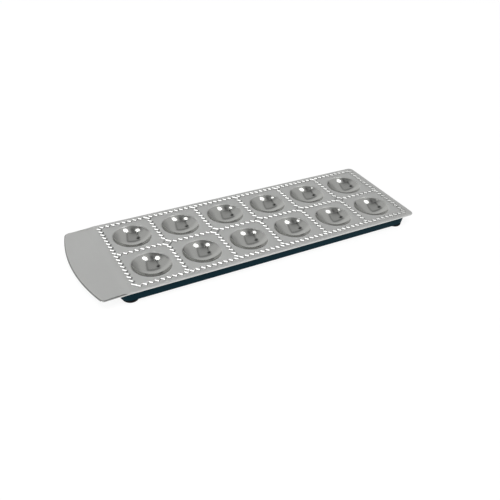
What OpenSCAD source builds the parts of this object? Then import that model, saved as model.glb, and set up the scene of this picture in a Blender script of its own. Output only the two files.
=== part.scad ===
// Ravioli mould. A pressed aluminium plate holds two rows of round hollows, and
// zigzag cutting ridges frame each hollow. The plate sits on a moulded base frame,
// and the frame stands on four rubber feet.
// Millimetres. The origin is on the table under the middle of the object. X runs
// along the tray with the handle tab at -X, Y runs across it and Z is up.

/* [Cells] */
// Spacing of the hollows, along and across the tray
pitch = 46; // [45:0.5:52]
// Hollows in each of the two rows
cols = 6; // [3:1:7]

/* [Hollows] */
// Radius where the bowl of a hollow would meet the flat of the plate
hollow_r = 17.6; // [15:0.1:18]
// Depth of a hollow below the flat of the plate
hollow_depth = 8; // [7:0.1:9.5]
// Radius that rounds the rim of a hollow, on the upper side
rim_r = 2; // [1.6:0.1:2.4]

/* [Plate] */
// Thickness of the pressed sheet
sheet_t = 1; // [0.8:0.05:1.2]
// Flat border outside the ridges, along the two long sides
side_margin = 6; // [5:0.1:8]
// Flat border outside the ridges, at the end away from the handle tab
end_margin = 7.5; // [6:0.1:11]
// Corner radius at the end away from the handle tab
corner_r = 5; // [4:0.5:9]
// Height of the turned-down edge, from the flat of the plate to the cut edge
lip_h = 1.5; // [1.4:0.1:2.4]

/* [Handle tab] */
// Reach of the handle tab beyond the last row of ridges
tab_reach = 37.6; // [32:0.1:50]
// Flat of the plate between the last ridges and the step down to the tab
shoulder = 3.5; // [3:0.1:5]
// Length of the step, which is also the neck of the outline
step_len = 7.5; // [6:0.5:9]
// How far the tab lies below the rest of the plate
tab_drop = 1; // [0.4:0.1:1.2]
// How far the outline draws in at the neck, each side
neck_in = 1; // [0.6:0.1:1.6]
// How far the outline draws in at the tip, each side
tip_in = 0.4; // [0.2:0.1:0.6]
// Radius of the bowed end of the tab
bow_r = 155; // [130:5:260]
// Radius of the two corners of the tab
tab_corner_r = 5; // [3:0.5:8]

/* [Ridges] */
// Height of the ridges above the flat of the plate
ridge_h = 1.3; // [1:0.05:1.6]
// Width of a ridge at its foot
ridge_w = 1.7; // [1.5:0.05:1.9]
// Depth of the groove that each ridge leaves in the underside
groove_h = 0.5; // [0.3:0.05:0.6]
// Width of that groove at its mouth
groove_w = 0.7; // [0.5:0.05:0.8]
// Zigzag teeth to one pitch, along the outer lines
teeth = 9; // [8:1:9]
// Half diagonal of the diamond where two lines cross, as a share of the pitch
diamond = 0.1; // [0.09:0.005:0.12]

/* [Base frame] */
// Height of the frame, from its lower edge to the seat of the plate
frame_h = 9.1; // [8.6:0.1:12]
// Thickness of the frame's wall
wall = 2.2; // [1.8:0.1:2.4]
// Width of the seat that carries the plate
seat_w = 3; // [2.6:0.1:3.2]
// Depth of the seat's rib
seat_t = 1.6; // [1.2:0.1:2.4]
// How far the wall leans in from its upper to its lower edge
draft = 1; // [0.5:0.1:1.5]
// Corner radius of the frame
frame_r = 7.5; // [6:0.5:9]
// Gap between the frame and the plate's turned-down edge
frame_gap = 0.5; // [0.4:0.05:0.7]
// Reach of the frame beyond the last ridges, under the neck of the tab
frame_reach = 12.4; // [12:0.1:12.8]
// How far the frame stops short of the outer ridge at the other end
frame_short = 0.2; // [0:0.1:0.6]

/* [Feet] */
// Height of a foot below the frame
foot_h = 2.2; // [2:0.1:4]
// Radius of a foot
foot_r = 6.8; // [6:0.1:6.9]
// Rounding of the lower edge of a foot
foot_edge = 1.2; // [0.6:0.1:1.6]
// Thickness of the corner pads that the feet plug into
pad_t = 2.6; // [2:0.1:3]
// Radius of the stem of a foot
stem_r = 2.4; // [2:0.1:3]

/* [Hidden] */
$fn = 64;

rows = 2;
grid_len = cols * pitch;
grid_wid = rows * pitch;

// The whole length runs from the tip of the tab to the far end of the plate.
total_len = tab_reach + grid_len + end_margin;
x_tip = -total_len / 2;
x_end = total_len / 2;
grid_x0 = x_tip + tab_reach;
grid_x1 = grid_x0 + grid_len;
half_wid = grid_wid / 2 + side_margin;

plate_z = foot_h + frame_h + sheet_t;
seat_z = plate_z - sheet_t;

// Step and neck between the plate and its tab.
step_x = grid_x0 - shoulder;
function smooth(t) = (1 - cos(180 * min(max(t, 0), 1))) / 2;
function step_share(x) = smooth((step_x - x) / step_len);
function drop_at(x) = tab_drop * step_share(x);

// Bowl of a hollow. Its ball and the ring that rounds the rim touch on one line.
ball_r = (hollow_r * hollow_r + hollow_depth * hollow_depth) / (2 * hollow_depth);
ball_z = plate_z - hollow_depth + ball_r;
// The ring lies a little high, so it cuts the flat faces at a clear angle.
rim_lift = 0.03;
rim_z = plate_z - rim_r + rim_lift;
rim_c = sqrt(pow(ball_r + rim_r, 2) - pow(ball_z - rim_z, 2));

// Frame and feet.
frame_x0 = grid_x0 - frame_reach;
frame_x1 = grid_x1 - frame_short;
frame_hw = half_wid - sheet_t - frame_gap;
foot_in = foot_r + 2.2;
foot_x0 = frame_x0 + foot_in;
foot_x1 = frame_x1 - foot_in;
foot_y = frame_hw - foot_r - 0.4;
pad_r = foot_r + 0.6;
bore_gap = 0.1;
head_r = stem_r + 0.7;
head_t = 1.2;
cut = 1;

// Plate.

// Outline of the plate for y > 0, from the far end to the tip of the tab.
corner_n = 8;
neck_n = 8;
bow_n = 12;
tip_y = half_wid - tip_in - tab_corner_r;
bow_a = asin(tip_y / (bow_r - tab_corner_r));
tip_x = x_tip + bow_r - (bow_r - tab_corner_r) * cos(bow_a);
half_outline = concat(
    [for (i = [0:corner_n]) let (a = 90 * i / corner_n)
        [x_end - corner_r + corner_r * cos(a), half_wid - corner_r + corner_r * sin(a)]],
    [for (i = [0:neck_n]) let (x = step_x - step_len * i / neck_n)
        [x, half_wid - neck_in * step_share(x)]],
    [for (i = [0:corner_n]) let (a = 90 + (90 - bow_a) * i / corner_n)
        [tip_x + tab_corner_r * cos(a), tip_y + tab_corner_r * sin(a)]],
    [for (i = [1:bow_n]) let (a = 180 - bow_a * (1 - i / (bow_n + 0.5)))
        [x_tip + bow_r + bow_r * cos(a), bow_r * sin(a)]]
);
half_n = len(half_outline);
outline_n = 2 * half_n;
outline = concat(
    half_outline,
    [for (i = [half_n - 1:-1:0]) [half_outline[i].x, -half_outline[i].y]]
);

function unit(v) = v / norm(v);
function left_of(a, b) = let (d = unit(b - a)) [-d.y, d.x];
// Offset vector at a corner, so that both sides of it move out by one.
function mitre(n0, n1) = (n0 + n1) / (1 + n0 * n1);
inward = [for (i = [0:outline_n - 1])
    let (p = outline[(i + outline_n - 1) % outline_n],
         q = outline[i],
         r = outline[(i + 1) % outline_n])
    mitre(left_of(p, q), left_of(q, r))];

// The section of the edge: up the outside, over the round, then back inside.
edge_r = sheet_t + 0.2;
round_n = 3;
edge_outside = concat(
    [[0, -lip_h]],
    [for (i = [0:round_n]) let (a = 90 * i / round_n)
        [edge_r * (1 - cos(a)), edge_r * (sin(a) - 1)]]
);
edge_inside = [[edge_r, -sheet_t], [sheet_t, -edge_r], [sheet_t, -lip_h]];
edge = concat(edge_outside, edge_inside);
top_ring = len(edge_outside) - 1;
under_ring = top_ring + 1;
edge_n = len(edge);

function sheet_point(k, i) =
    let (p = outline[i] + edge[k][0] * inward[i])
    [p.x, p.y, plate_z + edge[k][1] - drop_at(outline[i].x)];
function at(k, i) = (k % edge_n) * outline_n + i % outline_n;
function mirrored(i) = outline_n - 1 - i;

module sheet() {
    bands = [for (k = [0:edge_n - 1]) if (k != top_ring) k];
    polyhedron(
        points = [for (k = [0:edge_n - 1]) for (i = [0:outline_n - 1]) sheet_point(k, i)],
        faces = concat(
            [for (k = bands) for (i = [0:outline_n - 1])
                [at(k, i), at(k + 1, i), at(k + 1, i + 1)]],
            [for (k = bands) for (i = [0:outline_n - 1])
                [at(k, i), at(k + 1, i + 1), at(k, i + 1)]],
            [for (i = [0:half_n - 2])
                [at(top_ring, i), at(top_ring, mirrored(i)),
                 at(top_ring, mirrored(i + 1)), at(top_ring, i + 1)]],
            [for (i = [0:half_n - 2])
                [at(under_ring, i), at(under_ring, i + 1),
                 at(under_ring, mirrored(i + 1)), at(under_ring, mirrored(i))]]
        )
    );
}

// Half section of a bowl: the ball below the line of touch, and above it the
// space inside the rounded rim, up to the height top.
module bowl_section(grow, top) {
    share = ball_r / (ball_r + rim_r);
    touch_r = share * rim_c + grow * rim_c / (ball_r + rim_r);
    touch_z = ball_z + (ball_r + grow) * (rim_z - ball_z) / (ball_r + rim_r);
    intersection() {
        translate([0, ball_z]) circle(r = ball_r + grow, $fn = 96);
        translate([0, touch_z - 2 * ball_r]) square([2 * ball_r, 2 * ball_r]);
    }
    difference() {
        translate([0, touch_z]) square([rim_c, top - touch_z]);
        translate([rim_c, rim_z]) circle(r = rim_r - grow, $fn = 48);
    }
}

module at_cells() {
    for (i = [0:cols - 1]) for (j = [0:rows - 1])
        translate([grid_x0 + pitch * (i + 0.5), pitch * (j + 0.5) - grid_wid / 2, 0])
            children();
}

// Ridges.

// Corners of a zigzag of n teeth from p to q. The line leaves p to the left of
// its axis when side is 1, and all its strokes lie at 45 degrees.
function zigzag(p, q, n, side) =
    let (d = unit(q - p), s = side * [-d.y, d.x], period = norm(q - p) / n)
    [for (i = [0:2 * n - 1])
        p + period * (0.25 + 0.5 * i) * d + (i % 2 == 0 ? 1 : -1) * period / 4 * s];

half_gap = diamond * pitch;
y_line = grid_wid / 2;
inner_teeth = round(teeth * (1 - 2 * diamond));
end_teeth = round(teeth * (1 - diamond));
function cross_x(k) = grid_x0 + k * pitch;

// One closed line round all the cells. It cuts straight across two corners.
front_line = zigzag([grid_x0, -y_line], [grid_x1, -y_line], teeth * cols, 1);
end_line = zigzag([grid_x1, -y_line], [grid_x1, y_line], teeth * rows, -1);
back_line = zigzag([grid_x0, y_line], [grid_x1, y_line], teeth * cols, 1);
tab_line = zigzag([grid_x0, -y_line], [grid_x0, y_line], teeth * rows, -1);
function trimmed(line, from, to) = [for (i = [from:to]) line[i]];
function reversed(line) = [for (i = [len(line) - 1:-1:0]) line[i]];
rim_line = concat(
    trimmed(front_line, 1, len(front_line) - 1),
    trimmed(end_line, 0, len(end_line) - 2),
    reversed(trimmed(back_line, 0, len(back_line) - 2)),
    reversed(trimmed(tab_line, 1, len(tab_line) - 1))
);

// The inner lines step up the tray: each runs in along a cross line, turns
// along the middle for one cell, and turns out along the next cross line.
function run_in(k) = k == 0 ? [] :
    zigzag([cross_x(k), -y_line], [cross_x(k), -half_gap], end_teeth, -1);
function run_out(k) = k == cols ? [] :
    zigzag([cross_x(k), half_gap], [cross_x(k), y_line], end_teeth, -1);
function run_along(k) =
    let (at_end = k == 0 || k == cols - 1)
    zigzag([cross_x(k) + (k == 0 ? 0 : half_gap), 0],
           [cross_x(k + 1) - (k == cols - 1 ? 0 : half_gap), 0],
           at_end ? end_teeth : inner_teeth, 1);
function inner_line(k) = concat(run_in(k), run_along(k), run_out(k + 1));

// Swept ridge of triangular section along a line, with its foot at z0 and its
// crest at z1. Half is the half width of the foot.
module ridge(line, half, z0, z1, closed = false) {
    n = len(line);
    last = closed ? n - 1 : n - 2;
    side = [for (i = [0:n - 1])
        let (p = line[(i + n - 1) % n], q = line[i], r = line[(i + 1) % n],
             into = closed || i > 0 ? left_of(p, q) : left_of(q, r),
             out = closed || i < n - 1 ? left_of(q, r) : into)
        half * mitre(into, out)];
    function foot(i, s) = let (p = line[i] + s * side[i]) [p.x, p.y, z0];
    function l(i) = 3 * (i % n);
    function c(i) = l(i) + 1;
    function r(i) = l(i) + 2;
    polyhedron(
        points = [for (i = [0:n - 1])
            each [foot(i, 1), [line[i].x, line[i].y, z1], foot(i, -1)]],
        faces = concat(
            [for (i = [0:last]) each [
                [l(i), l(i + 1), c(i + 1), c(i)],
                [r(i), c(i), c(i + 1), r(i + 1)],
                [l(i), r(i), r(i + 1), l(i + 1)]]],
            closed ? [] : [[l(0), c(0), r(0)], [l(n - 1), r(n - 1), c(n - 1)]]
        )
    );
}

// All the lines as ridges that rise by height from the level face, with feet
// sunk below it so that they join or cut it fully. Where a line ends on another
// it is a hair lower and stays inside it.
module all_lines(face_z, height, width) {
    sink = 0.4;
    hair = 0.05;
    slope = width / 2 / height;
    z0 = face_z - sink;
    function half(drop) = slope * (height - drop + sink);
    function crest(drop) = face_z + height - drop;
    ridge(rim_line, half(0), z0, crest(0), true);
    for (k = [0:cols - 1])
        ridge(inner_line(k), half(hair), z0, crest(hair));
    for (k = [1:cols - 1]) for (s = [-1, 1])
        ridge([[cross_x(k), s * half_gap], [cross_x(k) + s * half_gap, 0]],
              half(2 * hair), z0, crest(2 * hair));
}

module mould_plate() {
    color([0.72, 0.72, 0.71])
    difference() {
        union() {
            sheet();
            at_cells() rotate_extrude() bowl_section(sheet_t, plate_z - sheet_t / 2);
            all_lines(plate_z, ridge_h, ridge_w);
        }
        at_cells() rotate_extrude() bowl_section(0, plate_z + cut);
        all_lines(seat_z, groove_h, groove_w);
    }
}

// Base frame.

// Outline of the frame, moved in by a distance.
module frame_outline(inset) {
    r = max(frame_r - inset, 1);
    x0 = frame_x0 + inset;
    x1 = frame_x1 - inset;
    hw = frame_hw - inset;
    translate([x0 + r, -hw]) square([x1 - x0 - 2 * r, 2 * hw]);
    translate([x0, r - hw]) square([x1 - x0, 2 * (hw - r)]);
    for (x = [x0 + r, x1 - r]) for (y = [r - hw, hw - r])
        translate([x, y]) circle(r = r);
}

// Ring of points round the frame at height z, moved in by a distance.
corner_steps = 12;
function frame_ring(inset, r, z) = [
    for (q = [0:3]) for (i = [0:corner_steps])
        let (a = 90 * (q + i / corner_steps),
             x = q == 0 || q == 3 ? frame_x1 - inset - r : frame_x0 + inset + r,
             y = (q < 2 ? 1 : -1) * (frame_hw - inset - r))
        [x + r * cos(a), y + r * sin(a), z]
];

// The wall leans in towards its lower edge, so that it comes out of its mould.
module frame_wall() {
    n = 4 * (corner_steps + 1);
    inner_r = frame_r - wall;
    polyhedron(
        points = concat(
            frame_ring(draft, frame_r, foot_h),
            frame_ring(0, frame_r, seat_z),
            frame_ring(wall, inner_r, seat_z),
            frame_ring(draft + wall, inner_r, foot_h)
        ),
        faces = [for (k = [0:3]) for (i = [0:n - 1])
            let (up = (k + 1) % 4 * n, j = (i + 1) % n)
            [k * n + i, up + i, up + j, k * n + j]]
    );
}

module at_feet() {
    for (x = [foot_x0, foot_x1]) for (y = [-foot_y, foot_y])
        translate([x, y, 0]) children();
}

// Space over the frame's tab end, where the plate steps down. The frame stays
// clear of the step by the gap and carries the plate on its level part.
module step_space() {
    n = 8;
    below = 0.15;
    profile = [for (i = [0:n]) let (x = step_x - step_len * i / n)
        [x, seat_z - below * min(i, 1) - drop_at(x)]];
    reach = frame_x0 - 2 * cut;
    translate([0, frame_hw + cut, 0])
        rotate([90, 0, 0])
            linear_extrude(2 * (frame_hw + cut))
                polygon(concat(
                    [[step_x, seat_z + cut]],
                    profile,
                    [[reach, profile[n].y], [reach, seat_z + cut]]
                ));
}

module base_frame() {
    color([0.12, 0.2, 0.26])
    difference() {
        union() {
            frame_wall();
            translate([0, 0, seat_z - seat_t])
                linear_extrude(seat_t)
                    difference() {
                        frame_outline(wall / 2);
                        frame_outline(seat_w);
                    }
            translate([0, 0, foot_h])
                linear_extrude(pad_t)
                    intersection() {
                        frame_outline(draft + wall / 2);
                        at_feet() circle(r = pad_r);
                    }
        }
        at_feet() translate([0, 0, foot_h - cut])
            cylinder(r = stem_r + bore_gap, h = pad_t + 2 * cut);
        step_space();
    }
}

// Feet.

// A foot is one rubber plug: a round pad, a stem and a head that holds it.
module foot(x, y) {
    head_z = foot_h + pad_t + bore_gap;
    color([0.06, 0.06, 0.065])
    translate([x, y, 0])
    rotate_extrude() {
        difference() {
            square([foot_r, foot_h]);
            translate([foot_r - foot_edge, 0]) square(foot_edge);
        }
        intersection() {
            translate([foot_r - foot_edge, foot_edge]) circle(r = foot_edge, $fn = 48);
            square([foot_r, foot_edge]);
        }
        square([stem_r, head_z]);
        translate([0, head_z]) square([head_r, head_t]);
    }
}

mould_plate();
base_frame();
foot(foot_x0, -foot_y);  // foot_front_left
foot(foot_x1, -foot_y);  // foot_front_right
foot(foot_x0, foot_y);  // foot_back_left
foot(foot_x1, foot_y);  // foot_back_right
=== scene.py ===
# %% [markdown]
# # A ravioli mould in pressed aluminium
# The object is a long flat tray. A thin aluminium plate holds twelve round hollows,
# zigzag ridges cut the dough between them, a dark plastic frame carries the plate,
# and four rubber feet stop it sliding. The solids come ready made from the packed
# model. This script loads them as a fixed frame and builds the finer surfaces and
# finishes on top, in metres and in the same place.

# %% Load the solids
import math

import bmesh
import bpy
import numpy as np
from mathutils import Matrix, Vector
from mathutils.geometry import delaunay_2d_cdt


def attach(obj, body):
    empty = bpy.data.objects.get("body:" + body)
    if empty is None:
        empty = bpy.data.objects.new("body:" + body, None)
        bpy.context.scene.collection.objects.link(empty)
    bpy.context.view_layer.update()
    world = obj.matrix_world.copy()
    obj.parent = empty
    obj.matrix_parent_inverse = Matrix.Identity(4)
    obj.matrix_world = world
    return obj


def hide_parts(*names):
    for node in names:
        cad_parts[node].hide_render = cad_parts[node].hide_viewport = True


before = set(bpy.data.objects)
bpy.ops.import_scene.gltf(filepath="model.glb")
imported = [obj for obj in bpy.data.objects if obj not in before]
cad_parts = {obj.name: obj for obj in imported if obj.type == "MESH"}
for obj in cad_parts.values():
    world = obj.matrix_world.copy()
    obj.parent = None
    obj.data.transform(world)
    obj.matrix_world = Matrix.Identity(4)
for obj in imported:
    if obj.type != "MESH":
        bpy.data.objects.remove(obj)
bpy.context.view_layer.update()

# %% [markdown]
# The sizes that the finer surfaces share with the solids are kept in millimetres,
# because a tray is thought of in millimetres. They turn into metres only when a
# mesh is made. Heights count from the table.

# %% Shared sizes
MM = 0.001
pitch = 46.0
cols, rows = 6, 2
sheet_t = 1.0
plate_z = 12.3
seat_z = plate_z - sheet_t
tab_reach, end_margin, side_margin = 37.6, 7.5, 6.0
grid_len, grid_wid = cols * pitch, rows * pitch
x_tip = -(tab_reach + grid_len + end_margin) / 2
x_end = -x_tip
grid_x0 = x_tip + tab_reach
grid_x1 = grid_x0 + grid_len
half_wid = grid_wid / 2 + side_margin
print("plate %.1f mm long, %.1f mm wide" % (x_end - x_tip, 2 * half_wid))

# %% [markdown]
# The camera comes first, because every later choice is judged through it. It looks
# down on the near long side from the tab end. The place, the aim and the small roll
# were worked out from the regular grid of ridges, so they are written as numbers. The
# place counts in pitches of the grid, from its middle at a third of the ridges' height.

# %% Camera
picture_px, film_mm = 500, 36
lens_px = 615.751
view_az, view_el, view_roll = (math.radians(a) for a in (-31.281, 34.768, 3.802))
camera_in_pitches = Vector((-5.618, -8.988, 6.591))
ridge_mid = 0.45
grid_mid = Vector(((grid_x0 + grid_x1) / 2, 0, plate_z + ridge_mid))
camera_at = (grid_mid + pitch * camera_in_pitches) * MM
ahead = Vector((-math.sin(view_az) * math.cos(view_el),
                math.cos(view_az) * math.cos(view_el), -math.sin(view_el)))
level_right = ahead.cross(Vector((0, 0, 1))).normalized()
level_up = level_right.cross(ahead)
right = math.cos(view_roll) * level_right + math.sin(view_roll) * level_up
up = right.cross(ahead)

camera_data = bpy.data.cameras.new("camera")
camera_data.sensor_width = film_mm
camera_data.lens = lens_px / picture_px * film_mm
camera_data.clip_start = 0.01
camera = bpy.data.objects.new("camera", camera_data)
bpy.context.scene.collection.objects.link(camera)
camera.matrix_world = Matrix.Translation(camera_at) @ Matrix(
    (right, up, -ahead)).transposed().to_4x4()
bpy.context.scene.camera = camera
print("camera at", [round(v, 4) for v in camera_at], "lens %.2f mm" % camera_data.lens)

# %% [markdown]
# Finishes are written as sums. A `Wire` holds one output of a shader node and
# overloads the plain operators, so `0.3 + 0.1 * grain` adds the Math nodes by
# itself. Every other node comes from one method, `Finish.add`, which takes the
# node's type, then its settings, then what goes into its sockets. Colours are blended
# by a Mix node, because a Math node would turn them grey.

# %% Wires and finishes
class Wire:
    """One output of a node, for sums on plain values."""

    def __init__(self, finish, socket):
        self.finish, self.socket = finish, socket

    def sum(self, operation, a, b=0.0):
        return self.finish.add("ShaderNodeMath", {"operation": operation}, {0: a, 1: b})[0]

    def __add__(self, other): return self.sum("ADD", self, other)
    def __radd__(self, other): return self.sum("ADD", other, self)
    def __sub__(self, other): return self.sum("SUBTRACT", self, other)
    def __rsub__(self, other): return self.sum("SUBTRACT", other, self)
    def __mul__(self, other): return self.sum("MULTIPLY", self, other)
    def __rmul__(self, other): return self.sum("MULTIPLY", other, self)
    def __truediv__(self, other): return self.sum("DIVIDE", self, other)
    def __rtruediv__(self, other): return self.sum("DIVIDE", other, self)
    def __abs__(self): return self.sum("ABSOLUTE", self)

    def ramp(self, low, high, at_low=0.0, at_high=1.0):
        """A smooth change from one value to another between low and high."""
        return self.finish.add("ShaderNodeMapRange", {"interpolation_type": "SMOOTHSTEP"}, {
            0: self, 1: low, 2: high, 3: at_low, 4: at_high})[0]


class Finish:
    """The node tree of a material or a world."""

    def __init__(self, owner):
        self.owner = owner
        owner.use_nodes = True
        self.tree = owner.node_tree
        self.tree.nodes.clear()

    def add(self, kind, settings, sockets):
        node = self.tree.nodes.new(kind)
        for key, value in settings.items():
            setattr(node, key, value)
        for key, value in sockets.items():
            if isinstance(value, Wire):
                self.tree.links.new(value.socket, node.inputs[key])
            else:
                node.inputs[key].default_value = value
        return [Wire(self, out) for out in node.outputs]

    def blend(self, share, none, full):
        """The colour none where share is 0, and full where it is 1."""
        return self.add("ShaderNodeMix", {"data_type": "RGBA"}, {
            0: share, 6: none, 7: full})[2]


def new_material(name):
    return Finish(bpy.data.materials.new(name))


# %% [markdown]
# ## The outline of the plate
# Seen from above, the plate is a long rectangle with two round corners at the far
# end. At the other end it draws in a little and runs out into a handle tab whose end
# is one shallow bow. The tab lies a millimetre lower, joined by a smooth step. One
# list of points holds this outline, for the half with positive Y, and the other half
# is its mirror image, so both sides stay alike.

# %% Outline
shoulder, step_len, tab_drop = 3.5, 7.5, 1.0
neck_in, tip_in = 1.0, 0.4
corner_r, tab_corner_r, bow_r = 5.0, 5.0, 155.0
corner_steps, neck_steps, bow_steps = 16, 16, 30
step_x = grid_x0 - shoulder


def step_share(x):
    t = np.clip((step_x - np.asarray(x, float)) / step_len, 0, 1)
    return (1 - np.cos(np.pi * t)) / 2


def arc(centre, radius, start, stop, count):
    turn = np.radians(np.linspace(start, stop, count + 1))
    return np.stack([centre[0] + radius * np.cos(turn),
                     centre[1] + radius * np.sin(turn)], -1)


tip_y = half_wid - tip_in - tab_corner_r
bow_a = math.degrees(math.asin(tip_y / (bow_r - tab_corner_r)))
tip_x = x_tip + bow_r - (bow_r - tab_corner_r) * math.cos(math.radians(bow_a))
neck_x = step_x - step_len * np.linspace(0, 1, neck_steps + 1)
# The bow stops half a step short of the middle, where its mirror image takes over.
bow = arc((x_tip + bow_r, 0), bow_r,
          180 - bow_a, 180 - bow_a / (2 * bow_steps + 2), bow_steps)
upper = np.concatenate([
    arc((x_end - corner_r, half_wid - corner_r), corner_r, 0, 90, corner_steps),
    np.stack([neck_x, half_wid - neck_in * step_share(neck_x)], -1),
    arc((tip_x, tip_y), tab_corner_r, 90, 180 - bow_a, corner_steps),
    bow[1:],
])
outline = np.concatenate([upper, upper[::-1] * (1, -1)])
print("outline of", len(outline), "points")

# %% [markdown]
# ## The turned-down edge
# A pressed sheet is stiffened by turning its border down. In section that border is
# a quarter round on the outside, a tighter quarter round on the inside, and a short
# straight lip. The section is swept round the outline: each point of the outline has
# one mitred direction that points inwards, and each ring of the mesh is the outline
# moved along it. The ridges use the same mitres further on.

# %% Edge rings
lip_h = 1.5
inner_r = 0.2
edge_r = sheet_t + inner_r
inner_mid = 0.06
chamfer_in, chamfer_up = 0.12, 0.15
round_steps = 6


def mitres(path, closed):
    """For each corner of a path, the offset vector that keeps both strokes' width."""
    step = np.roll(path, -1, 0) - path
    step /= np.linalg.norm(step, axis=1)[:, None]
    left = np.stack([-step[:, 1], step[:, 0]], -1)
    before = np.roll(left, 1, 0)
    if not closed:
        before[0] = left[0]
        left[-1] = before[-1]
    return (left + before) / (1 + (left * before).sum(1))[:, None]


inward = mitres(outline, True)
outline_drop = tab_drop * step_share(outline[:, 0])


def edge_ring(inset, dz):
    flat = outline + inset * inward
    return np.column_stack([flat, plate_z + dz - outline_drop])


round_a = np.radians(np.linspace(0, 90, round_steps + 1))
edge_outside = [(chamfer_in, -lip_h), (0, -lip_h + chamfer_up), (0, -edge_r)] + [
    (edge_r * (1 - math.cos(a)), edge_r * (math.sin(a) - 1)) for a in round_a[1:]]
edge_inside = [(edge_r, -sheet_t), (sheet_t + inner_mid, -sheet_t - inner_mid),
               (sheet_t, -edge_r), (sheet_t, -lip_h)]
print("edge section of", len(edge_outside) + len(edge_inside), "points")

# %% [markdown]
# ## Zigzag lines
# The cutting ridges run in zigzags of 45 degree strokes. One closed line goes round
# all the cells, and it cuts straight across two of the corners. The inner lines step
# up the tray: each runs in along a cross line, along the middle for one cell and out
# along the next cross line. Where they pass each other, two short strokes close a
# small diamond. Working the lines out as paths, and not as separate strokes, keeps
# every corner mitred.

# %% Zigzag paths
teeth, diamond = 9, 0.1
half_gap = diamond * pitch
y_line = grid_wid / 2
inner_teeth = round(teeth * (1 - 2 * diamond))
end_teeth = round(teeth * (1 - diamond))


def zigzag(start, stop, count, side):
    start, stop = np.array(start, float), np.array(stop, float)
    length = np.linalg.norm(stop - start)
    along = (stop - start) / length
    across = side * np.array([-along[1], along[0]])
    period = length / count
    return [start + period * (0.25 + 0.5 * i) * along
            + (1 if i % 2 == 0 else -1) * period / 4 * across
            for i in range(2 * count)]


def cross_x(k):
    return grid_x0 + k * pitch


front = zigzag((grid_x0, -y_line), (grid_x1, -y_line), teeth * cols, 1)
end = zigzag((grid_x1, -y_line), (grid_x1, y_line), teeth * rows, -1)
back = zigzag((grid_x0, y_line), (grid_x1, y_line), teeth * cols, 1)
near_tab = zigzag((grid_x0, -y_line), (grid_x0, y_line), teeth * rows, -1)
rim_path = front[1:] + end[:-1] + back[-2::-1] + near_tab[:0:-1]

paths = [(np.array(rim_path), True)]
for k in range(cols):
    first, last = k == 0, k == cols - 1
    path = [] if first else zigzag(
        (cross_x(k), -y_line), (cross_x(k), -half_gap), end_teeth, -1)
    path += zigzag((cross_x(k) + (0 if first else half_gap), 0),
                   (cross_x(k + 1) - (0 if last else half_gap), 0),
                   end_teeth if first or last else inner_teeth, 1)
    path += [] if last else zigzag(
        (cross_x(k + 1), half_gap), (cross_x(k + 1), y_line), end_teeth, -1)
    paths.append((np.array(path), False))
for k in range(1, cols):
    for s in (-1, 1):
        paths.append((np.array([[cross_x(k), s * half_gap],
                                [cross_x(k) + s * half_gap, 0]]), False))
print(len(paths), "paths,", sum(len(p) for p, _ in paths), "corners")

# %% [markdown]
# A ridge pressed into sheet has no sharp corner. Its section is a bump with a round
# crest, straight flanks and a small hollow round at the foot. The same bump, narrower
# and lower, is the groove that the ridge leaves in the underside.

# %% Ridge section
def bump(height, half, crest, foot):
    """Height over the flat at a distance from the middle of the ridge."""
    slope = height / (half - crest / 2 - foot / 2)

    def at(d):
        d = np.abs(np.asarray(d, float))
        tip = height - slope * d ** 2 / (2 * crest)
        flank = height - slope * (d - crest / 2)
        base = slope * (half - d) ** 2 / (2 * foot)
        return np.where(d < crest, tip, np.where(d < half - foot, flank,
                        np.where(d < half, base, 0.0)))

    steps = np.array([0, crest * 0.5, crest, half - foot, half - foot * 0.5, half])
    at.half, at.offsets = half, np.concatenate([-steps[:0:-1], steps])
    return at


ridge = bump(height=1.3, half=0.95, crest=0.3, foot=0.26)
groove = bump(height=0.5, half=0.4, crest=0.12, foot=0.1)
print("ridge section at", ridge.offsets.round(2), "mm")

# %% [markdown]
# ## Faces of the sheet
# The upper and the lower face of the sheet are each one surface: flat, with round
# holes where the bowls start and with the ridges rising out of it. A constrained
# Delaunay triangulation makes it from lines alone. It gets the outline, the circles
# and every line along a ridge, and returns triangles that follow them all. Each point
# then gets its height from the ridge that it lies on, so overlapping ridges merge
# with no boolean.

# %% Strokes of all ridges
touching = 1e-4
strokes = []
for path, closed in paths:
    mitre = mitres(path, closed)
    n = len(path)
    for i in range(n if closed else n - 1):
        j = (i + 1) % n
        step = path[j] - path[i]
        length = np.linalg.norm(step)
        step = step / length
        strokes.append((*path[i], *step, length, mitre[i] @ step, mitre[j] @ step))
print(len(strokes), "strokes")


def relief(points, section):
    """Height of the merged ridges at each point."""
    height = np.zeros(len(points))
    for x, y, dx, dy, length, lean0, lean1 in strokes:
        px, py = points[:, 0] - x, points[:, 1] - y
        along = px * dx + py * dy
        off = py * dx - px * dy
        inside = ((np.abs(off) <= section.half) & (along >= lean0 * off - touching)
                  & (along <= length + lean1 * off + touching))
        height[inside] = np.maximum(height[inside], section(off[inside]))
    return height


# %% [markdown]
# The bowl of a hollow is a shallow cap of a ball, and a ring rounds its rim. Ball and
# ring touch along one circle, so light runs over the rim without a crease. The lower
# side of the sheet follows the same shape one sheet thickness further out.

# %% Bowl section
hollow_r, hollow_depth, rim_r = 17.6, 8.0, 2.0
bowl_turns, rim_steps, ball_steps = 80, 6, 19
ball_r = (hollow_r ** 2 + hollow_depth ** 2) / (2 * hollow_depth)
ball_z = plate_z - hollow_depth + ball_r
rim_z = plate_z - rim_r
rim_c = math.sqrt((ball_r + rim_r) ** 2 - (ball_z - rim_z) ** 2)


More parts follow.
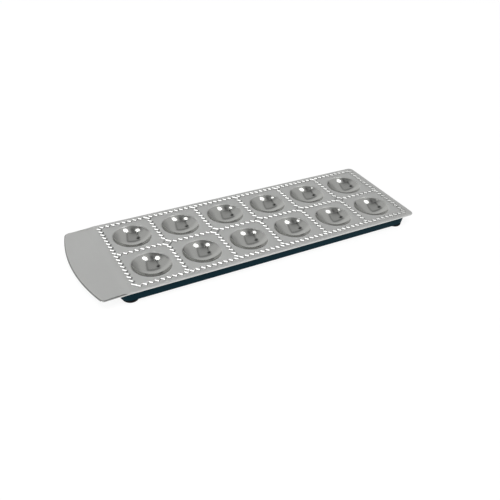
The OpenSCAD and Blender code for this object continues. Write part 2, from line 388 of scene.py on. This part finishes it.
def bowl_section(grow):
    lean = math.atan2(ball_z - rim_z, rim_c)
    rim = [(rim_c - (rim_r - grow) * math.cos(a), rim_z + (rim_r - grow) * math.sin(a))
           for a in np.linspace(math.pi / 2, lean, rim_steps + 1)]
    ball = [((ball_r + grow) * math.cos(a), ball_z - (ball_r + grow) * math.sin(a))
            for a in np.linspace(lean, math.pi / 2, ball_steps + 1)]
    return rim + ball[1:-1]


centres = [(grid_x0 + pitch * (i + 0.5), pitch * (j + 0.5) - grid_wid / 2)
           for i in range(cols) for j in range(rows)]
turns = np.linspace(0, 2 * math.pi, bowl_turns, endpoint=False)
ring_xy = np.stack([np.cos(turns), np.sin(turns)], -1)
print("ball radius %.2f mm, rim circle %.2f mm" % (ball_r, rim_c))

# %% [markdown]
# Now the triangulation. Its input is a list of points and a list of lines between
# them. The lines across the neck keep the step between plate and tab smooth.

# %% Faces of the sheet
cdt_near = 1e-5
neck_slack = 0.1
just_inside = 0.999


def sheet_face(section, base_z):
    """Points and triangles of one face of the sheet, in millimetres."""
    points, lines = [], []

    def loop(xy):
        start = len(points)
        points.extend(xy)
        lines.extend((start + i, start + (i + 1) % len(xy)) for i in range(len(xy)))
        return start

    border = outline + edge_r * inward
    first = loop([tuple(p) for p in border])
    n = len(border)
    for i in range(len(upper)):
        if neck_x[-1] - neck_slack < outline[i, 0] < neck_x[0] + neck_slack:
            lines.append((first + i, first + n - 1 - i))
    for cx, cy in centres:
        loop([(cx + rim_c * c, cy + rim_c * s) for c, s in ring_xy])
    for path, closed in paths:
        mitre = mitres(path, closed)
        start, wide = len(points), len(section.offsets)
        for corner, m in zip(path, mitre):
            points.extend(tuple(corner + o * m) for o in section.offsets)
        count = len(path)
        for i in range(count):
            here = start + i * wide
            lines.extend((here + k, here + k + 1) for k in range(wide - 1))
            if closed or i < count - 1:
                there = start + (i + 1) % count * wide
                lines.extend((here + k, there + k) for k in range(wide))
    made = delaunay_2d_cdt([Vector(p) for p in points], lines, [], 1, cdt_near, False)
    xy = np.array([tuple(v) for v in made[0]])
    tris = np.array(made[2])
    mid = xy[tris].mean(1)
    keep = np.ones(len(tris), bool)
    for cx, cy in centres:
        keep &= np.hypot(mid[:, 0] - cx, mid[:, 1] - cy) > rim_c * just_inside
    tris = tris[keep]
    bump_h = relief(xy, section)
    z = base_z + bump_h - tab_drop * step_share(xy[:, 0])
    # The border keeps the drop of the outline point that it was moved in from.
    lookup = {(round(p[0], 3), round(p[1], 3)): d for p, d in zip(border, outline_drop)}
    for i, (x, y) in enumerate(xy):
        d = lookup.get((round(x, 3), round(y, 3)))
        if d is not None:
            z[i] = base_z - d
    return np.column_stack([xy, z]), tris, bump_h


upper_face = sheet_face(ridge, plate_z)
lower_face = sheet_face(groove, seat_z)
print("upper face: %d triangles, lower face: %d" % (len(upper_face[1]), len(lower_face[1])))

# %% [markdown]
# All parts of the sheet are then sewn into one closed skin. Points that coincide are
# merged, and a count of open edges tells whether anything is left unsewn. Flat
# triangles are shaded flat, and everything curved is shaded smooth.

# %% Sew the plate
sew_m = 2e-6
crease = math.radians(38)


def plate_mesh():
    verts, faces, smooth = [], [], []

    def put(points):
        start = len(verts)
        verts.extend(tuple(p) for p in points)
        return start

    for (points, tris, bump_h), turn_over in ((upper_face, False), (lower_face, True)):
        start = put(points)
        for tri in tris:
            a, b, c = points[tri]
            area = (b[0] - a[0]) * (c[1] - a[1]) - (b[1] - a[1]) * (c[0] - a[0])
            order = tri if (area > 0) != turn_over else tri[::-1]
            faces.append([start + i for i in order])
            uneven = max(np.ptp(points[tri][:, 2]), bump_h[tri].max()) > touching
            smooth.append(bool(uneven))
    n = len(outline)
    for section in (edge_outside, edge_inside, [edge_inside[-1], edge_outside[0]]):
        starts = [put(edge_ring(*s)) for s in section]
        for low, high in zip(starts, starts[1:]):
            for i in range(n):
                j = (i + 1) % n
                faces.append([low + i, low + j, high + j, high + i])
                smooth.append(True)
    for grow in (0.0, sheet_t):
        section = bowl_section(grow)
        bottom = ball_z - ball_r - grow
        for cx, cy in centres:
            starts = [put([(cx + r * c, cy + r * s, z) for c, s in ring_xy])
                      for r, z in section]
            pole = put([(cx, cy, bottom)])
            for i in range(bowl_turns):
                j = (i + 1) % bowl_turns
                for outer, inner in zip(starts, starts[1:]):
                    quad = [outer + i, outer + j, inner + j, inner + i]
                    faces.append(quad if grow == 0 else quad[::-1])
                    smooth.append(True)
                fan = [starts[-1] + i, starts[-1] + j, pole]
                faces.append(fan if grow == 0 else fan[::-1])
                smooth.append(True)
    mesh = bpy.data.meshes.new("pressed_plate")
    mesh.from_pydata([tuple(c * MM for c in v) for v in verts], [], faces)
    mesh.polygons.foreach_set("use_smooth", smooth)
    sewn = bmesh.new()
    sewn.from_mesh(mesh)
    bmesh.ops.remove_doubles(sewn, verts=sewn.verts, dist=sew_m)
    print("open edges:", sum(1 for e in sewn.edges if len(e.link_faces) != 2),
          "triangles:", sum(len(f.verts) - 2 for f in sewn.faces))
    sewn.to_mesh(mesh)
    sewn.free()
    mesh.set_sharp_from_angle(angle=crease)
    return mesh


pressed_plate = bpy.data.objects.new("pressed_plate", plate_mesh())
bpy.context.scene.collection.objects.link(pressed_plate)
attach(pressed_plate, "root")
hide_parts("mould_plate")
print("pressed plate:", len(pressed_plate.data.vertices), "points")

# %% [markdown]
# ## Aluminium
# Pressed aluminium sheet is a bare metal with a satin skin. The rolls leave very fine
# lines along the sheet and the press leaves a faint cloudiness, and both go into a
# very shallow bump and a little into colour and roughness. What the press did to the
# skin follows from the place, mostly from the height, so masks on the place pick it
# out. Masks on the place also pick out where shade is painted. The drawn bowls and
# the turned edge are nearly polished, and the bowls are painted darker as painted
# shade in the hollows. The crests of the ridges are pulled smooth, while a dark line
# of painted shade lies at their feet. A thin darker line is painted round the tab,
# along the turned edge.

# %% Masks: the worked skin, the painted shade and the tab edge line
aluminium = new_material("satin_aluminium")
place = aluminium.add("ShaderNodeTexCoord", {}, {})[3]
spot_x, spot_y, spot_z = aluminium.add("ShaderNodeSeparateXYZ", {}, {0: place})


def falling(spot, low, high):
    """One below low and none above high, in millimetres."""
    return spot.ramp(low * MM, high * MM, 1.0, 0.0)


def rising(spot, low, high):
    """None below low and one above high, in millimetres."""
    return spot.ramp(low * MM, high * MM)


tab_z = plate_z - tab_drop
drawn = (falling(spot_z, plate_z - 1.2, plate_z - 0.1)
         * rising(spot_x, step_x + 0.5, step_x + 2.5))
inner_part = (falling(abs(spot_y), half_wid - 2.6, half_wid - 1.8)
              * falling(spot_x, x_end - 2.6, x_end - 1.8))
# Where the bowls' colour is painted darker, as painted shade in the hollows.
bowls = drawn * inner_part
turned = falling(spot_z, plate_z - 2.0, plate_z - 1.15)
smooth_skin = 1.0 - (1.0 - drawn) * (1.0 - turned)
crests = rising(spot_z, plate_z + 0.1, plate_z + 0.5)
# Painted shade: a band just above the flat, at the feet of the ridges.
ridge_foot_shade = (rising(spot_z, plate_z + 0.01, plate_z + 0.1)
              * falling(spot_z, plate_z + 0.3, plate_z + 0.65))
# A thin band round the tab, along its turned edge, where the colour is made darker.
tab_edge_line = (falling(spot_z, tab_z - 0.1, tab_z - 0.02)
           * rising(spot_z, tab_z - 0.75, tab_z - 0.5)
           * falling(spot_x, step_x - step_len + 1.0, step_x - step_len + 4.0))
print("masks take", len(aluminium.tree.nodes), "nodes")

# %% Aluminium finish
# The bowls' colour is darker than the bare sheet, as painted shade.
bare_metal, shaded_bowl_metal = (0.775, 0.78, 0.768, 1), (0.493, 0.497, 0.477, 1)
# The dark colour of the painted shade at the ridge feet, and of the thin line round the
# tab.
dark_painted_metal = (0.15, 0.15, 0.146, 1)
rolled = aluminium.add("ShaderNodeMapping", {}, {
    "Vector": place, "Scale": (60, 2200, 2200)})[0]
roll_lines = aluminium.add("ShaderNodeTexNoise", {}, {
    "Vector": rolled, "Scale": 1.0, "Detail": 3.0, "Roughness": 0.6})[0]
grain = aluminium.add("ShaderNodeTexNoise", {}, {
    "Vector": place, "Scale": 3800.0, "Detail": 2.0})[0]
cloud = aluminium.add("ShaderNodeTexNoise", {}, {
    "Vector": place, "Scale": 45.0, "Detail": 3.0, "Roughness": 0.55})[0]
dent = aluminium.add("ShaderNodeBump", {}, {
    "Strength": 0.12, "Distance": 0.00002, "Height": 0.6 * roll_lines + 0.4 * grain})[0]
# The bowls take the darker colour as painted shade. Cloud and roll lines vary the tone a
# little.
tone = aluminium.blend(1.0 - 0.8 * bowls - 0.1 * cloud - 0.08 * roll_lines,
                       shaded_bowl_metal, bare_metal)
# Painted shade at the ridge feet, and the darker line round the tab.
tone = aluminium.blend(0.7 * ridge_foot_shade + 0.75 * tab_edge_line, tone, dark_painted_metal)
roughness = 0.56 - 0.47 * smooth_skin - 0.34 * crests + 0.04 * cloud + 0.03 * grain
skin = aluminium.add("ShaderNodeBsdfPrincipled", {}, {
    "Base Color": tone, "Metallic": 1.0, "Roughness": roughness, "Normal": dent})[0]
aluminium.add("ShaderNodeOutputMaterial", {}, {"Surface": skin})
pressed_plate.data.materials.append(aluminium.owner)
print("aluminium has", len(aluminium.tree.nodes), "nodes")

# %% [markdown]
# ## Frame and feet
# Moulded plastic and rubber have no knife edges. The solids of the frame and the feet
# have the right form, so each piece starts as a copy of its solid, with its points
# merged, and a small bevel rounds the edges.

# %% Rounded copies of the solids
same_point_m = 1e-6
same_plane = math.radians(0.5)
sharp_edge = math.radians(40)
bevel_steps = 3


def rounded_copy(node, name, width):
    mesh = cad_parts[node].data.copy()
    mesh.name = name
    mesh.materials.clear()
    merged = bmesh.new()
    merged.from_mesh(mesh)
    bmesh.ops.remove_doubles(merged, verts=merged.verts, dist=same_point_m)
    bmesh.ops.dissolve_limit(merged, angle_limit=same_plane,
                             verts=merged.verts, edges=merged.edges)
    merged.to_mesh(mesh)
    merged.free()
    piece = bpy.data.objects.new(name, mesh)
    bpy.context.scene.collection.objects.link(piece)
    round_off = piece.modifiers.new("round_off", "BEVEL")
    round_off.width = width * MM
    round_off.segments = bevel_steps
    round_off.limit_method = "ANGLE"
    round_off.angle_limit = sharp_edge
    round_off.harden_normals = True
    for face in mesh.polygons:
        face.use_smooth = True
    mesh.set_sharp_from_angle(angle=sharp_edge)
    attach(piece, "root")
    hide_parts(node)
    return piece


moulded_frame = rounded_copy("base_frame", "moulded_frame", 0.4)
feet = [rounded_copy(n, n.replace("foot", "rubber_foot"), 0.15)
        for n in sorted(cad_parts) if n.startswith("foot_")]
print("rounded:", moulded_frame.name, [f.name for f in feet])

# %% [markdown]
# The plastic is a dark petrol blue with the fine even grain of a spark-eroded mould,
# so it shines only softly. The rubber is a nearly black, duller and slightly dusty
# material with a coarser grain.

# %% Plastic and rubber finishes
plastic = new_material("petrol_blue_plastic")
place = plastic.add("ShaderNodeTexCoord", {}, {})[3]
spark = plastic.add("ShaderNodeTexNoise", {}, {
    "Vector": place, "Scale": 2600.0, "Detail": 3.0})[0]
drift = plastic.add("ShaderNodeTexNoise", {}, {
    "Vector": place, "Scale": 30.0, "Detail": 2.0})[0]
dent = plastic.add("ShaderNodeBump", {}, {
    "Strength": 0.35, "Distance": 0.00004, "Height": spark})[0]
tone = plastic.blend(drift, (0.0034, 0.022, 0.033, 1), (0.0056, 0.03, 0.043, 1))
skin = plastic.add("ShaderNodeBsdfPrincipled", {}, {
    "Base Color": tone, "Roughness": 0.5 + 0.14 * spark,
    "Specular IOR Level": 0.04, "Normal": dent})[0]
plastic.add("ShaderNodeOutputMaterial", {}, {"Surface": skin})
moulded_frame.data.materials.append(plastic.owner)

rubber = new_material("black_rubber_skin")
place = rubber.add("ShaderNodeTexCoord", {}, {})[3]
pores = rubber.add("ShaderNodeTexNoise", {}, {
    "Vector": place, "Scale": 1800.0, "Detail": 4.0})[0]
dent = rubber.add("ShaderNodeBump", {}, {
    "Strength": 0.4, "Distance": 0.00005, "Height": pores})[0]
tone = rubber.blend(pores, (0.003, 0.003, 0.0032, 1), (0.008, 0.008, 0.0084, 1))
skin = rubber.add("ShaderNodeBsdfPrincipled", {}, {
    "Base Color": tone, "Roughness": 0.62 + 0.16 * pores,
    "Specular IOR Level": 0.12, "Normal": dent})[0]
rubber.add("ShaderNodeOutputMaterial", {}, {"Surface": skin})
for foot in feet:
    foot.data.materials.append(rubber.owner)
print("finishes:", [m.name for m in bpy.data.materials])

# %% [markdown]
# ## Floor and light
# The floor is a white sweep that only shows a soft shadow. Part of its white is its
# own glow for the camera and for mirror rays, and the rest is lit, so the shadow
# stays.

# %% Floor
floor_mesh = bpy.data.meshes.new("floor")
reach = 3.0
floor_mesh.from_pydata([(-reach, -reach, 0), (reach, -reach, 0),
                        (reach, reach, 0), (-reach, reach, 0)], [], [(0, 1, 2, 3)])
floor = bpy.data.objects.new("floor", floor_mesh)
bpy.context.scene.collection.objects.link(floor)
sweep = new_material("white_sweep")
path = sweep.add("ShaderNodeLightPath", {}, {})
camera_ray, mirror_ray, glass_ray = path[0], path[3], path[6]
seen = (camera_ray + mirror_ray + glass_ray).ramp(0, 1)
lit = sweep.add("ShaderNodeBsdfDiffuse", {}, {"Color": (0.2, 0.2, 0.2, 1)})[0]
glow = sweep.add("ShaderNodeEmission", {}, {
    "Color": (1, 1, 1, 1), "Strength": 0.35 + 0.51 * seen})[0]
both = sweep.add("ShaderNodeAddShader", {}, {0: lit, 1: glow})[0]
sweep.add("ShaderNodeOutputMaterial", {}, {"Surface": both})
floor_mesh.materials.append(sweep.owner)
print("floor", 2 * reach, "m wide")

# %% [markdown]
# Polished bowls show whatever stands round the tray, so the studio is drawn as the
# bowls would see it. Each direction is laid out flat: `across` and `along` are the
# tangent of half its angle from straight up, and on that chart soft rectangles and
# slopes stand for what hangs and stands in a studio. A camera sees plain white.
#
# - `hatch` is a large dark frame overhead, with a paler middle, and `knot` a small
#   dark fitting beside it
# - `gap` is the dark gap between the two lamps
# - `near_left`, `behind_camera` and `far_left` are unlit parts of the room
# - `far_wall` is a little paler than the rest, and `right_wall` a little darker
# - `low_right` and `far_right` are where the walls get darker towards the floor
# - `front` is a lit panel low in front, which makes the flanks of the ridges sparkle

# %% World
world = bpy.data.worlds.new("studio")
bpy.context.scene.world = world
studio = Finish(world)
toward = studio.add("ShaderNodeTexCoord", {}, {})[0]
tx, ty, tz = studio.add("ShaderNodeSeparateXYZ", {}, {0: toward})
across = tx / (1.0 + tz)
along = ty / (1.0 + tz)


def patch(at, half, soft, turn=0):
    """A soft rectangle on the chart, turned clockwise by an angle in degrees."""
    c, s = math.cos(math.radians(turn)), math.sin(math.radians(turn))
    u = (across - at[0]) * c - (along - at[1]) * s
    v = (across - at[0]) * s + (along - at[1]) * c
    return (half[0] - abs(u)).ramp(-soft, soft) * (half[1] - abs(v)).ramp(-soft, soft)


hatch = patch((0.05, 0.205), (0.19, 0.25), 0.025, 13)
hatch_middle = patch((0.045, 0.168), (0.14, 0.185), 0.025, 13)
gap = patch((-0.06, -0.13), (0.05, 0.09), 0.06)
knot = patch((-0.085, 0.3), (0.05, 0.05), 0.02)
near_left = across.ramp(0.2, -0.3) * along.ramp(0.22, -0.08)
behind_camera = patch((-0.25, -0.43), (0.16, 0.14), 0.08)
far_left = patch((-0.6, 0.14), (0.12, 0.24), 0.08)
low_right = across.ramp(0.7, 0.88) * along.ramp(0.6, 0.35)
far_right = (across * 0.8 + along * 0.6).ramp(0.62, 0.85)
far_wall = along.ramp(0.4, 0.65)
right_wall = across.ramp(0.4, 0.6) * along.ramp(-0.1, 0.15)
front = (tx * -0.822 + ty * -0.487 + tz * 0.296).ramp(0.92, 0.96)

dome = 0.47 + 0.12 * far_wall - 0.14 * right_wall
dome = dome - 0.31 * near_left - 0.26 * hatch + 0.15 * hatch_middle
for dark, share in ((knot, 0.95), (gap, 0.7), (behind_camera, 0.9), (far_left, 0.85),
                    (low_right, 0.8), (far_right, 0.25)):
    dome = dome * (1 - share * dark)
dome = dome + 1.9 * front
strength = 1.3 * dome
camera_ray = studio.add("ShaderNodeLightPath", {}, {})[0]
grey = studio.add("ShaderNodeBackground", {}, {
    "Color": (1, 1, 1, 1), "Strength": strength})[0]
white = studio.add("ShaderNodeBackground", {}, {
    "Color": (1, 1, 1, 1), "Strength": 1.0})[0]
seen = studio.add("ShaderNodeMixShader", {}, {0: camera_ray, 1: grey, 2: white})[0]
studio.add("ShaderNodeOutputWorld", {}, {"Surface": seen})
print("studio has", len(studio.tree.nodes), "nodes")

# %% [markdown]
# Two lamps over the tray give each bowl its pair of bright spots. The key box is far
# off, so its spot is the same in every bowl. The side box hangs close over the tab
# end and has a narrow beam, so its spot fades from bowl to bowl along the tray. The
# top box only lifts the dull parts and the floor, and mirrors don't show it.

# %% Lamps
def soft_box(name, at, size, power, aim=(-0.1, 0, 0), beam=180, mirrored=True):
    """An oval lamp at a place in metres, wide across the picture, aimed at the tray."""
    at = Vector(at)
    lamp = bpy.data.lights.new(name, "AREA")
    lamp.shape = "ELLIPSE"
    lamp.size, lamp.size_y = size
    lamp.energy = power
    lamp.spread = math.radians(beam)
    box = bpy.data.objects.new(name, lamp)
    bpy.context.scene.collection.objects.link(box)
    away = (at - Vector(aim)).normalized()
    tall = away.cross(right).normalized()
    box.matrix_world = Matrix.Translation(at) @ Matrix(
        (tall.cross(away), tall, away)).transposed().to_4x4()
    box.visible_glossy = mirrored


soft_box("key_box", (0.83, -0.86, 2.47), (0.9, 0.64), 5.2)
soft_box("side_box", (-0.54, -0.055, 0.8), (0.44, 0.28), 0.029,
         aim=(-0.19, -0.03, 0), beam=21)
soft_box("top_box", (-0.4, -1.0, 2.6), (2.0, 2.0), 24, mirrored=False)

# %% [markdown]
# Last, the view transform is set to standard, so colours show as they are written.

# %% View transform
bpy.context.scene.view_settings.view_transform = "Standard"
